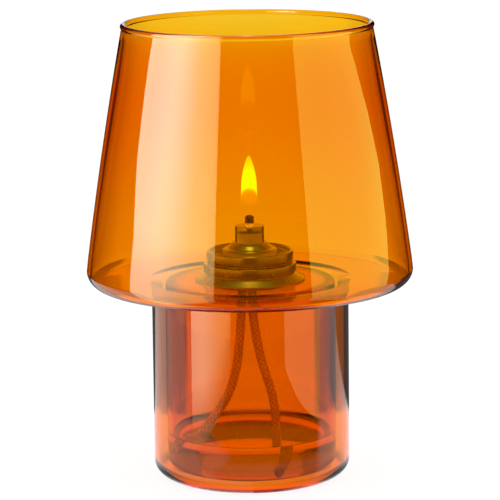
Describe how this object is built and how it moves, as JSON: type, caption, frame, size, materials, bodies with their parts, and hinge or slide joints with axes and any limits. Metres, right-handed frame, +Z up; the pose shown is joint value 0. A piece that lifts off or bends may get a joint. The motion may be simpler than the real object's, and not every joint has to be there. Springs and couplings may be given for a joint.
{
  "type": "oil lamp",
  "caption": "Glass oil lamp shaped like a table lamp: an open tapered shade on a round base, a loose glass oil vessel inside, and a metal burner with a round wick.",
  "frame": {"origin": "centre of the base's underside, on the table", "axes": "+Z up along the lamp's axis; -Y towards the viewer; +X to the viewer's right"},
  "size_m": [0.16, 0.16, 0.224],
  "materials": {
    "amber_glass": "clear amber blown glass, fire-polished rim",
    "vessel_glass": "clear amber blown glass",
    "oil": "clear lamp oil, stood in by a clear solid",
    "collar_metal": "nickel-plated, satin",
    "seal_rubber": "soft dark silicone, matte",
    "burner_metal": "nickel-plated, softly polished",
    "tube_metal": "nickel-plated, turned",
    "wick_fibre": "glass-fibre rope, burnt dark at the top",
    "cord_cotton": "plaited cotton, soaked with oil"
  },
  "bodies": {
    "lamp_body": {"lamp_glass": "amber_glass"},
    "vessel": {"oil_vessel": "vessel_glass", "lamp_oil": "oil", "neck_collar": "collar_metal"},
    "burner": {"seal_ring": "seal_rubber", "burner_cap": "burner_metal", "burner_sleeve": "burner_metal", "guide_plate": "burner_metal", "wick_tube": "tube_metal", "tube_tip": "tube_metal", "feeder_cord_left": "cord_cotton", "feeder_cord_right": "cord_cotton"},
    "wick_piece": {"wick": "wick_fibre"}
  },
  "joints": [
    {"name": "vessel_lift", "type": "slide", "parent": "lamp_body", "child": "vessel", "axis": [0, 0, 1], "range_m": [0, 0.225]},
    {"name": "burner_lift", "type": "slide", "parent": "vessel", "child": "burner", "axis": [0, 0, 1], "range_m": [0, 0.04], "deforming": ["feeder_cord_left", "feeder_cord_right"]},
    {"name": "wick_adjust", "type": "slide", "parent": "burner", "child": "wick_piece", "axis": [0, 0, 1], "range_m": [-0.003, 0.004]}
  ]
}
